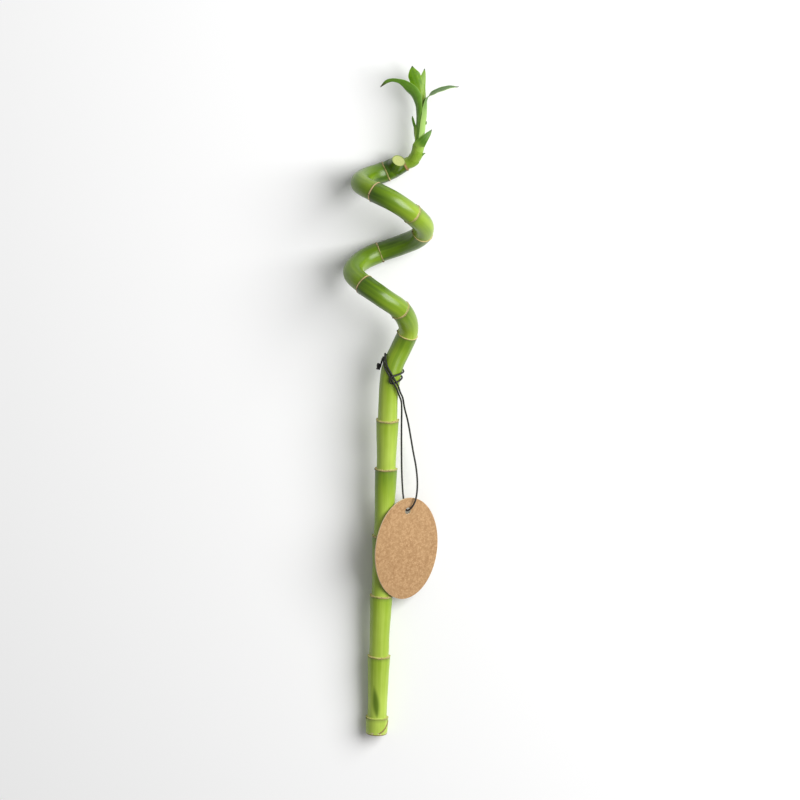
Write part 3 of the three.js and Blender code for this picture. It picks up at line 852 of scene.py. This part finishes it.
def card_finish():
    """Brown card of pressed fibres: short wandering lines, some pale and some dark, with flecks."""
    finish, tree, shader = new_finish("kraft_card", 0.85, 0.2)
    place = on_object(tree)
    fibres = grain(place, 0.002, (1, 1, 1), 4, 0.7)
    wandering = grain(place, 0.0021, (1, 1, 1), 3, 0.6)
    off_line = reckon("ABSOLUTE", centred(wandering, 2.0))
    flecks = grain(place, 0.0009, (1, 1, 1), 2, 0.5)
    clouds = grain(place, 0.012, (1, 1, 1), 2)
    card = blend(ranged(fibres, 0.36, 0.64), *CARD_FIBRES)
    card = blend(ranged(clouds, 0.35, 0.65, 0.0, 0.3), card, CARD_CLOUDS)
    card = blend(ranged(off_line, 0.0, 0.16, 0.45, 0.0), card, CARD_LINES)
    card = blend(ranged(flecks, 0.66, 0.74, 0.0, 0.6), card, CARD_DARK_FLECKS)
    card = blend(ranged(flecks, 0.36, 0.28, 0.0, 0.25), card, CARD_PALE_FLECKS)
    paint(shader, card)
    bumped(shader, fibres, 0.00012)
    return finish


def cut_card_finish():
    finish, tree, shader = new_finish("cut_card_edge", 0.9, 0.2)
    layers = grain(on_object(tree), 0.0004)
    paint(shader, blend(ranged(layers, 0.4, 0.6), *CARD_EDGE))
    return finish


def cord_finish():
    finish, tree, shader = new_finish("waxed_cord", 0.55, 0.4)
    strands = grain(on_object(tree), 0.0003, (1, 1, 1), 3, 0.6)
    paint(shader, blend(ranged(strands, 0.35, 0.7), *CORD_BLACK))
    bumped(shader, strands, 0.00012)
    return finish


def floor_finish():
    finish, _, shader = new_finish("studio_floor", 0.9, 0.1)
    shader.inputs["Base Color"].default_value = FLOOR_GREY
    return finish


# ---------------------------------------------------------------- the camera


def set_up_camera():
    camera = bpy.data.cameras.new("camera")
    camera.lens = LENS
    camera.sensor_width = SENSOR
    viewer = bpy.data.objects.new("camera", camera)
    bpy.context.scene.collection.objects.link(viewer)
    away = VIEW_HEIGHT * LENS / SENSOR
    viewer.rotation_euler = (VIEW_TILT, 0, 0)
    viewer.location = VIEW_MIDDLE + Vector((0, -math.sin(VIEW_TILT), math.cos(VIEW_TILT))) * away
    camera.clip_end = FAR_CLIP
    bpy.context.scene.camera = viewer


set_up_camera()

# ---------------------------------------------------------------- the cord and its knot


def cord_route():
    """The cord's places, from the knot through the tag's hole and back."""
    there = [by_cane(*place) for place in CORD_FROM_KNOT]
    back = [by_cane(*place) for place in CORD_TO_KNOT]
    return there + placed(CORD_THROUGH_TAG) + back


def soft_line(name, places, count, diameter):
    """A round cord along the curve through some places, and the points it is made of."""
    points = [through(places, i / count) for i in range(count + 1)]
    line = straight_curve(name, points)
    line.data.bevel_depth = diameter / 2
    line.data.bevel_resolution = 3
    line.data.use_fill_caps = True
    return line, points


def tie_knot():
    """An overhand knot pulled small and long, with its two ends towards the cord's."""
    middle = by_cane(*KNOT_PLACE)
    way = way_at(cane_line, KNOT_PLACE[0])
    out = (middle - point_at(cane_line, KNOT_PLACE[0])).normalized()
    side = way.cross(out)
    outwards, onwards, sideways = KNOT_REACHES
    places = []
    for i in range(KNOT_PLACES):
        turn = KNOT_TURN * (2 * i / (KNOT_PLACES - 1) - 1)
        across = (math.sin(turn) + 2 * math.sin(2 * turn)) / 3
        length = (math.cos(turn) - 2 * math.cos(2 * turn)) / 3
        lift = -math.sin(3 * turn)
        place = middle + out * (across * outwards) + way * (length * onwards)
        places.append(place + side * (lift * sideways))
    return soft_line("cord_tie", places, KNOT_POINTS, KNOT_STRAND)[0]


knot = tie_knot()
cord, cord_points = soft_line("tag_string", cord_route(), CORD_POINTS, CORD_DIAMETER)
waxed = cord_finish()
for line in (cord, knot):
    dress(line, waxed)
    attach(line, "root")
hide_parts("tag_cord")
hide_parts("cord_knot")

# ---------------------------------------------------------------- the cane


def rounded(share):
    """Falls from one to nothing, with a round start and end."""
    return 0.5 + 0.5 * math.cos(math.pi * share)


def skin_radius(along):
    """The cane's radius with its lips rounded off and a crisp rim at the base."""
    radius = cane_radius(max(along, 2 * SCAR_WIDTH), 0.0)
    if along < EDGE_ROUND:
        radius -= EDGE_ROUND * (1 - along / EDGE_ROUND) ** 2
    near = min(SCARS, key=lambda scar: abs(scar - along))
    past = (along - near) / (SCAR_WIDTH / 2)
    if 0 < past < 1:
        narrow = cane_radius(near + SCAR_WIDTH / 2 + JUST_PAST, 0.0)
        radius = narrow + (radius - narrow) * rounded(past)
    if abs(past) < 1:
        radius += SCAR_HEIGHT * rounded(past)
    return radius


def cane_stops():
    stops = RINGS_AT_BASE | {TOP_JOINT}
    for scar in SCARS:
        stops.update(round(scar + shift, 6) for shift in RINGS_ROUND_A_SCAR)
    count = int(TOP_JOINT / CANE_STEP)
    for i in range(2, count):
        along = i * CANE_STEP
        if all(not CLEAR_OF_SCAR[0] < along - scar < CLEAR_OF_SCAR[1] for scar in SCARS):
            stops.add(round(along, 6))
    return sorted(stop for stop in stops if 0 <= stop <= TOP_JOINT)


def note_the_cane(cane):
    """Keeps for each point its straight place, how pale it is (partly the cane's own colour and partly
    painted shade), and its distances from the base and from the scars below and above it in millimetres."""
    straight, tones, above, below = [], [], [], []
    bounds = [BELOW_BASE] + SCARS + [PAST_THE_END]
    for vertex in cane.data.vertices:
        along = vertex.co.z
        straight.append(vertex.co[:])
        upper = next(scar for scar in bounds[1:] if scar >= along - JUST_UNDER)
        lower = max(scar for scar in bounds if scar < upper)
        power = TONE_POWERS[upper > SPIRAL_START[0]]
        share = ((along - lower) / (upper - lower)) ** power
        tones.append(between(LENGTH_TONES_AND_SHADE[bounds.index(lower)], share))
        above.append(min(FAR_FROM_SCAR, (along - lower) * MILLIMETRES))
        below.append(min(FAR_FROM_SCAR, (upper - along) * MILLIMETRES))
    remember(cane, "straight", straight, "FLOAT_VECTOR")
    remember(cane, "tone", tones)
    remember(cane, "from_base", [min(FAR_FROM_SCAR, place[2] * MILLIMETRES) for place in straight])
    remember(cane, "above_scar", above)
    remember(cane, "below_scar", below)


def note_the_marks(cane):
    """Keeps how far inside the dark streak each point of the bent cane lies, and how faint its
    scar is: the first one shows only at its sides."""
    low, high, degrees, wide = STREAK
    depths, faded = [], []
    for vertex, kept_place in zip(cane.data.vertices, cane.data.attributes["straight"].data):
        along = kept_place.vector.z
        depth = 0.0
        if low < along < high:
            share = (along - low) / (high - low)
            across = (vertex.co - by_cane(along, degrees * (2 * share - 0.1), 0.0)).length
            depth = max(0.0, math.sin(math.pi * share**0.8) ** 0.7 - across / wide)
        depths.append(depth)
        fade = 0.0
        if along < FADED_BELOW:
            from_top = (vertex.co - by_cane(along, 0, 0.0)).length
            fade = max(0.0, 1 - (from_top / FADED_RADIUS) ** 4)
        faded.append(fade)
    remember(cane, "streak", depths)
    remember(cane, "faded", faded)


def make_cane_uneven(cane):
    """Makes the lips ragged, the rings a little wavy, and the whole cane a little uneven."""
    lips = cane.vertex_groups.new(name="lips")
    joints = cane.vertex_groups.new(name="joints")
    for vertex in cane.data.vertices:
        distance = min(abs(scar - vertex.co.z) for scar in SCARS)
        if distance < LIP_REACH:
            lips.add([vertex.index], 1 - distance / LIP_REACH, "REPLACE")
        if distance < JOINT_REACH:
            joints.add([vertex.index], rounded(distance / JOINT_REACH), "REPLACE")
    for group, size, detail, strength, direction in CANE_BUMPS:
        make_uneven(cane, size, strength, detail, group, direction)


def rest_on_surface(piece):
    """Cuts off what would reach under the surface."""
    edit(piece)
    cut_off((0, 0, JUST_PAST), (0, 0, -1))
    done_editing()


def grow_cane():
    cane = straight_stem("cane_skin", cane_stops(), skin_radius, CANE_SIDES)
    base = point_at(cane_line, 0.0)
    dress(cane, cane_finish(), cut_finish("cut_base", base, BASE_RADIUS, *BASE_CUT_COLOURS))
    for face in cane.data.polygons:
        face.material_index = int(len(face.vertices) > 4 and face.center.z < 0.001)
    note_the_cane(cane)
    make_cane_uneven(cane)
    bend_along(cane, cane_line[0])
    note_the_marks(cane)
    rest_on_surface(cane)
    smooth(cane, 60)
    return cane


cane = grow_cane()
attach(cane, "root")
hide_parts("cane")

# ---------------------------------------------------------------- the cane's cut end and collar


def cone_between(foot, end, radii, past=0.0):
    """A tapering stem from its foot to its end, and on past it by a share of its length."""
    way = end - foot
    middle = foot + way * (0.5 + past / 2)
    nothing_selected()
    bpy.ops.mesh.primitive_cone_add(
        vertices=END_SIDES, radius1=radii[0], radius2=radii[1] - (radii[0] - radii[1]) * past,
        depth=way.length * (1 + past), location=middle - FOOTPRINT_MIDDLE,
        rotation=way.to_track_quat("Z", "Y").to_euler(),
    )
    return bpy.context.object


def grow_end():
    """The last joint: the cane's end, the stub and the collar, grown into one, and the stub cut."""

    def radius_of(height):
        along = END_START + height
        return cane_radius(along) if along > TOP_JOINT else NARROW_RADII[1] - END_SINK

    stops = [i * END_STEP for i in range(int((CANE_LENGTH - END_START) / END_STEP))]
    tip = straight_stem("cane_end", stops, radius_of, END_SIDES)
    bend_along(tip, points_from(cane_line, END_START))
    stub = cone_between(STUB_FOOT, STUB_END, STUB_RADII, past=STUB_PAST)
    collar = cone_between(COLLAR_FOOT, COLLAR_END, COLLAR_RADII)
    tip = joined((tip, stub, collar), "cane_end")
    settle(tip)
    apply_modifier(tip, "REMESH", mode="VOXEL", voxel_size=END_GRAIN)
    apply_modifier(tip, "SMOOTH", factor=0.5, iterations=END_SMOOTHING)
    rest_on_surface(tip)
    middle = STUB_END - FOOTPRINT_MIDDLE
    dress(tip, end_finish(), cut_finish("cut_stub", middle, STUB_RADII[1], *STUB_CUT_COLOURS))
    edit(tip)
    cut_off(middle, STUB_CUT)
    tip.active_material_index = 1
    bpy.ops.object.material_slot_assign()
    done_editing()
    smooth(tip, 50)
    return tip


def end_finish():
    finish, tree, shader = new_finish("cane_end_skin", 0.28)
    shade = grain(on_object(tree), 0.006, (1, 1, 1), 2)
    paint(shader, ramp(shade, [(0.4, DARK_CANE), (0.75, MID_CANE), (1.0, BRIGHT_CANE)]))
    return finish


end = grow_end()
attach(end, "root")


def add_shoot_ring():
    """The dry ring where the shoot leaves its collar."""
    middle = SHOOT_RING_MIDDLE - FOOTPRINT_MIDDLE
    nothing_selected()
    bpy.ops.mesh.primitive_torus_add(
        major_radius=SHOOT_RING_RADIUS, minor_radius=SHOOT_RING_THICK / 2, major_segments=72,
        minor_segments=12, location=middle, rotation=SHOOT_RING_WAY.to_track_quat("Z", "Y").to_euler(),
    )
    ring = named("shoot_ring")
    settle(ring)
    up = SHOOT_RING_WAY.cross(Vector((0, 0, 1))) * -1
    edit(ring)
    cut_off(middle + up * SHOOT_RING_CUT, up)
    done_editing()
    make_uneven(ring, *SHOOT_RING_FRAY)
    smooth(ring, 60)
    return ring


ring = add_shoot_ring()
dress(ring, plain_finish("dry_ring", DRY_RING, 0.75))
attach(ring, "root")

# ---------------------------------------------------------------- the dry buds on the leaf scars


def grow_buds():
    """One pointed bud, copied to its places on the leaf scars."""
    nothing_selected()
    bpy.ops.mesh.primitive_uv_sphere_add(segments=12, ring_count=8, radius=BUD_LENGTH / 2)
    first = bpy.context.object
    edit(first)
    bpy.ops.transform.resize(value=(*BUD_WIDTHS, 1))
    bpy.ops.mesh.select_all(action="DESELECT")
    done_editing()
    for vertex in first.data.vertices:
        vertex.select = vertex.co.z > BUD_POINT_FROM
    bpy.ops.object.mode_set(mode="EDIT")
    bpy.ops.transform.resize(value=BUD_POINT, center_override=(0, 0, BUD_POINT_FROM))
    done_editing()
    buds = [first]
    for _ in JOINT_BUDS[1:]:
        copy = first.copy()
        copy.data = first.data.copy()
        bpy.context.scene.collection.objects.link(copy)
        buds.append(copy)
    for bud, (along, degrees) in zip(buds, JOINT_BUDS):
        place = by_cane(along - BUD_UNDER_SCAR, degrees, -BUD_SINK)
        out = (place - point_at(cane_line, along)).normalized()
        lean = (way_at(cane_line, along) + out * BUD_LEAN).normalized()
        bud.rotation_mode = "QUATERNION"
        bud.rotation_quaternion = lean.to_track_quat("Z", "Y")
        bud.location = place
    buds = joined(buds, "joint_buds")
    settle(buds)
    smooth(buds, 60)
    return buds


buds = grow_buds()
dress(buds, plain_finish("dry_bud", DRY_BUD, 0.7))
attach(buds, "root")

# ---------------------------------------------------------------- blades


def lay_blade(name, rows, faces, thickness=LEAF_THICKNESS, across=13, wave=0.0, turn=(0.1, 0.5)):
    """A blade: a flat grid, each row of it moved to its place on the leaf, then given thickness.
    It arches, turns and rolls up all at once. Its face turns from the first way to the second
    between two shares of its length."""
    steps = (len(rows) - 1) * BLADE_STEPS
    nothing_selected()
    bpy.ops.mesh.primitive_grid_add(x_subdivisions=across - 1, y_subdivisions=steps, size=1)
    blade = named(name)
    line = placed(rows)
    widen, flatten = SHAPE_SCALES
    shape = [Vector((row[3] * widen, row[4] / flatten, 0)) for row in rows]
    notes = []
    for vertex in blade.data.vertices:
        sideways, share = vertex.co.x * 2, vertex.co.y + 0.5
        way = (through(line, share + WAY_SHARE) - through(line, share - WAY_SHARE)).normalized()
        face = faces[0].lerp(faces[1], eased(share, *turn))
        face = (face - way * face.dot(way)).normalized()
        right = way.cross(face)
        size = through(shape, share)
        width, curl = size.x / widen, size.y * flatten
        bend = curl * width * sideways / 2
        place = through(line, share) + right * (math.sin(bend) / curl)
        place += face * ((math.cos(bend) - 1) / curl)
        ripple = wave * noise.noise(Vector((share * RIPPLES, sideways, len(rows)))) * sideways**2
        valley = VALLEY_DEPTH * math.exp(-((sideways / VALLEY_WIDTH) ** 2)) * math.sin(math.pi * share)
        vertex.co = place + face * (ripple - valley)
        notes.append((sideways, share, len(rows) * PATTERN_STEP))
    remember(blade, "blade", notes, "FLOAT_VECTOR")
    apply_modifier(blade, "SOLIDIFY", thickness=thickness, offset=0.0)
    outward(blade)
    smooth(blade, 50)
    return blade


def lay_torn_strip():
    """The dry torn edge of an old leaf, lying on the cane over its base."""
    rows = []
    for along, degrees, width in TORN_STRIP:
        rows.append((*(by_cane(along, degrees, TORN_LIFT) + FOOTPRINT_MIDDLE), width, TORN_CURL))
    out = by_cane(*TORN_FACE, 0.001) - by_cane(*TORN_FACE, 0.0)
    strip = lay_blade("torn_strip", rows, (out, out), across=5, wave=TORN_RIPPLE)
    dress(strip, plain_finish("dry_leaf", DRY_LEAF, 0.8))
    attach(strip, "root")


lay_torn_strip()

# ---------------------------------------------------------------- the shoot

shoot_line = measured(placed(SHOOT_LINE))
SHOOT_LENGTH = shoot_line[1][-1]
SHOOT_RADIUS = max(row[3] for row in SHOOT_LINE)


def shoot_radius(along):
    sizes = [Vector((row[3], 0, 0)) for row in SHOOT_LINE]
    return through(sizes, along / SHOOT_LENGTH).x


def grow_stem():
    """The stem inside the sheaths, a little slimmer than they are."""

    def radius_of(along):
        return shoot_radius(along) - 2 * SHEATH_SINK

    stops = [i * SHOOT_LENGTH / STEM_STEPS for i in range(STEM_STEPS + 1)]
    stem = straight_stem("shoot_stem", stops, radius_of, STEM_SIDES)
    bend_along(stem, shoot_line[0])
    smooth(stem, 60)
    return stem


def rows_on_stem(low, high, side, wraps, offsets):
    """Rows of a blade that is rolled round the stem: each wraps a share of the way round it."""
    rows = []
    for i, wrap in enumerate(wraps):
        along = between((low, high), i / (len(wraps) - 1))
        way = way_at(shoot_line, max(NEAR_FOOT, along))
        out = (side - way * side.dot(way)).normalized()
        reach = shoot_radius(along) + between(offsets, i / (len(wraps) - 1))
        place = point_at(shoot_line, max(0.0, along)) + way * min(0.0, along) + out * reach
        rows.append((*(place + FOOTPRINT_MIDDLE), wrap * 2 * math.pi * reach, 1 / reach))
    return rows


def without_caps(tube):
    """Deletes the faces that close the tube's ends, which have more corners than its wall's."""
    edit(tube)
    bpy.ops.mesh.select_all(action="DESELECT")
    bpy.ops.mesh.select_mode(type="FACE")
    done_editing()
    for face in tube.data.polygons:
        face.select = len(face.vertices) > MOST_CORNERS
    bpy.ops.object.mode_set(mode="EDIT")
    bpy.ops.mesh.delete(type="FACE")
    done_editing()


def note_the_sheath(tube, rim, side, lowest):
    """Keeps each point's place round and along the sheath, and how dry it is at the shoot's foot."""
    middle, way = point_at(shoot_line, rim), way_at(shoot_line, rim)
    foot, leaving = point_at(shoot_line, 0.0), way_at(shoot_line, NEAR_FOOT)
    places, dry = [], []
    for vertex in tube.data.vertices:
        out = vertex.co - middle
        turn = math.atan2(out.dot(way.cross(side)), out.dot(side))
        along = VEINS_AT_RIM + out.dot(way) * VEINS_A_METRE
        places.append((turn / 2, along, rim * VEINS_APART))
        past_foot = (vertex.co - foot).dot(leaving)
        dry.append(max(0.0, 1 - past_foot / DRY_FOOT) if lowest else 0.0)
    remember(tube, "blade", places, "FLOAT_VECTOR")
    remember(tube, "dry_foot", dry)


def roll_sheath(start, rim, slant, lift, wrapped, scale_leaf):
    """A tube round the stem with a slanting rim, and the scale leaf that it ends in."""
    reach = rim + SHOOT_RADIUS * math.tan(math.radians(slant))

    def radius_of(height):
        return shoot_radius(start + height) + between((-SHEATH_SINK, lift), height / (rim - start))

    stops = [i * (reach - start) / SHEATH_STEPS for i in range(SHEATH_STEPS + 1)]
    tube = straight_stem("sheath", stops, radius_of, SHEATH_SIDES)
    bend_along(tube, points_from(shoot_line, start))
    way = way_at(shoot_line, rim)
    middle = point_at(shoot_line, rim)
    side = Vector(scale_leaf[0][:3]) - FOOTPRINT_MIDDLE - middle
    side = (side - way * side.dot(way)).normalized()
    edit(tube)
    cut_off(middle, (way - side * math.tan(math.radians(slant))).normalized(), fill=False)
    done_editing()
    without_caps(tube)
    note_the_sheath(tube, rim, side, start == SHEATHS[0][0])
    apply_modifier(tube, "SOLIDIFY", thickness=SHEATH_WALL, offset=-1.0)
    smooth(tube, 50)
    rows = [(*row, SCALE_CURL) for row in scale_leaf]
    if wrapped:
        wrap = SCALE_SPARE * scale_leaf[0][3] / (2 * math.pi * shoot_radius(rim))
        span = (rim - wrapped, rim - SCALE_UNDER_RIM)
        rows = rows_on_stem(*span, side, (wrap, wrap), SCALE_LIFTS) + rows
    faces = (side, (side + SCALE_RISE).normalized())
    return tube, lay_blade("scale_leaf", rows, faces, thickness=SCALE_THICKNESS)


stem = grow_stem()
dress(stem, plain_finish("young_stem", YOUNG_STEM, 0.4))
tubes, scales = zip(*(roll_sheath(*sheath) for sheath in SHEATHS))
sheaths = joined(tubes, "shoot_sheaths")
scales = joined(scales, "scale_leaves")
dress(sheaths, leaf_finish("young_sheath"))
dress(scales, leaf_finish("scale_leaf"))
for piece in (stem, sheaths, scales):
    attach(piece, "root")
    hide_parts("shoot")

# ---------------------------------------------------------------- leaves

left_rows = rows_on_stem(*LONG_LEAF_SHEATH, LEAF_LEFT_FACES[0], LEFT_WRAPS, LEFT_LIFTS)
left_rows += LEAF_LEFT
right_rows = rows_on_stem(*LONG_LEAF_SHEATH, LEAF_RIGHT_FACES[0], RIGHT_WRAPS, RIGHT_LIFTS)
right_rows += LEAF_RIGHT
leaf_left = lay_blade("blade_left", left_rows, LEAF_LEFT_FACES, across=21, wave=0.0008, turn=(0.33, 0.62))
leaf_right = lay_blade("blade_right", right_rows, LEAF_RIGHT_FACES, across=17, wave=0.0005, turn=(0.34, 0.64))
leaf_centre = lay_blade("blade_centre", LEAF_CENTRE, LEAF_CENTRE_FACES, wave=0.0003)
leaf_inner = lay_blade("blade_inner", LEAF_INNER, LEAF_INNER_FACES, wave=0.0002)
for blade, finish, node in (
    (leaf_left, "dark_leaf", "leaf_left"),
    (leaf_right, "light_leaf", "leaf_right"),
    (leaf_centre, "young_leaf", "leaf_centre"),
    (leaf_inner, "pale_leaf", "leaf_inner"),
):
    dress(blade, leaf_finish(finish))
    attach(blade, "root")
    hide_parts(node)

# ---------------------------------------------------------------- the tag


def cut_tag():
    """An oval of card with a punched hole, its edges a little rounded."""
    nothing_selected()
    bpy.ops.mesh.primitive_circle_add(vertices=TAG_SIDES, radius=TAG_LENGTH / 2, fill_type="NGON")
    tag = named("card_tag")
    edit(tag)
    bpy.ops.transform.translate(value=(0, 0, -TAG_THICKNESS / 2))
    bpy.ops.transform.resize(value=(TAG_WIDTH / TAG_LENGTH, 1, 1), center_override=(0, 0, 0))
    bpy.ops.mesh.extrude_region_move(TRANSFORM_OT_translate={"value": (0, 0, TAG_THICKNESS)})
    done_editing()
    outward(tag)
    nothing_selected()
    bpy.ops.mesh.primitive_cylinder_add(
        vertices=TAG_HOLE_SIDES, radius=TAG_HOLE_RADIUS, depth=4 * TAG_THICKNESS,
        location=(0, TAG_LENGTH / 2 - TAG_HOLE_FROM_EDGE, 0),
    )
    punch = bpy.context.object
    apply_modifier(tag, "BOOLEAN", object=punch, operation="DIFFERENCE", solver="EXACT")
    bpy.data.objects.remove(punch)
    apply_modifier(
        tag, "BEVEL", width=TAG_EDGE_ROUND, segments=3, limit_method="ANGLE",
        angle_limit=math.radians(50),
    )
    dress(tag, card_finish(), cut_card_finish())
    for face in tag.data.polygons:
        face.material_index = int(abs(face.normal.z) < 0.8)
    tag.rotation_mode = "YXZ"
    tag.rotation_euler = (TAG_RISE, TAG_LEAN, TAG_TURN)
    tag.location = TAG_MIDDLE - FOOTPRINT_MIDDLE
    settle(tag)
    smooth(tag, 40)
    return tag


tag = cut_tag()
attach(tag, "root")
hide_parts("tag")

# ---------------------------------------------------------------- floor and light


def lay_floor():
    nothing_selected()
    bpy.ops.mesh.primitive_plane_add(size=FLOOR_SIZE, location=(0, 0, 0))
    floor = named("studio_floor")
    dress(floor, floor_finish())


def hang_key_light():
    light = bpy.data.lights.new("key_light", "AREA")
    light.shape = "SQUARE"
    light.size = KEY_LIGHT_SIZE
    light.energy = KEY_LIGHT_POWER
    lamp = bpy.data.objects.new("key_light", light)
    lamp.location = KEY_LIGHT_PLACE
    lamp.rotation_euler = (KEY_LIGHT_AIM - KEY_LIGHT_PLACE).to_track_quat("-Z", "Y").to_euler()
    bpy.context.scene.collection.objects.link(lamp)


def light_the_room():
    world = bpy.data.worlds.new("studio")
    bpy.context.scene.world = world
    world.use_nodes = True
    background = world.node_tree.nodes["Background"]
    background.inputs["Color"].default_value = (1, 1, 1, 1)
    background.inputs["Strength"].default_value = ROOM_LIGHT


lay_floor()
hang_key_light()
light_the_room()
bpy.context.scene.view_settings.view_transform = "Standard"

bpy.context.view_layer.update()
